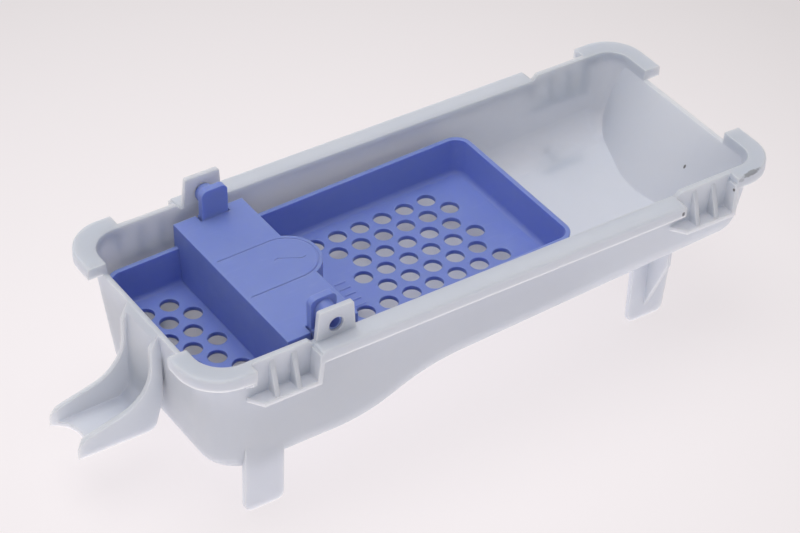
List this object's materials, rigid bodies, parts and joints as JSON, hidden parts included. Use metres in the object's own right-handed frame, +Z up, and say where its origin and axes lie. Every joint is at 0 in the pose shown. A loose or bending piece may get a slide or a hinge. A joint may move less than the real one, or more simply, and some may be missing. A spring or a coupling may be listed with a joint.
{
  "type": "detergent dispenser drawer",
  "caption": "White moulded dispenser trough on short feet with a pouring spout, and a blue sieve tray with a bridge that swings up on pegs in the trough's ears.",
  "frame": {"origin": "middle of the bounding box in plan, at the soles of the feet", "axes": "+X along the trough away from the spout, +Y across it towards the back of the picture, +Z up"},
  "size_m": [0.2874, 0.1062, 0.0833],
  "materials": {
    "trough": "semi-gloss pale bluish white moulding",
    "sieve_tray": "satin periwinkle blue moulding"
  },
  "bodies": {
    "trough_body": {"trough": "trough"},
    "tray_body": {"sieve_tray": "sieve_tray"}
  },
  "joints": [
    {"name": "tray_hinge", "type": "hinge", "parent": "trough_body", "child": "tray_body", "pos_m": [-0.0585, 0, 0.0759], "axis": [0, -1, 0], "range_deg": [0, 80]}
  ]
}
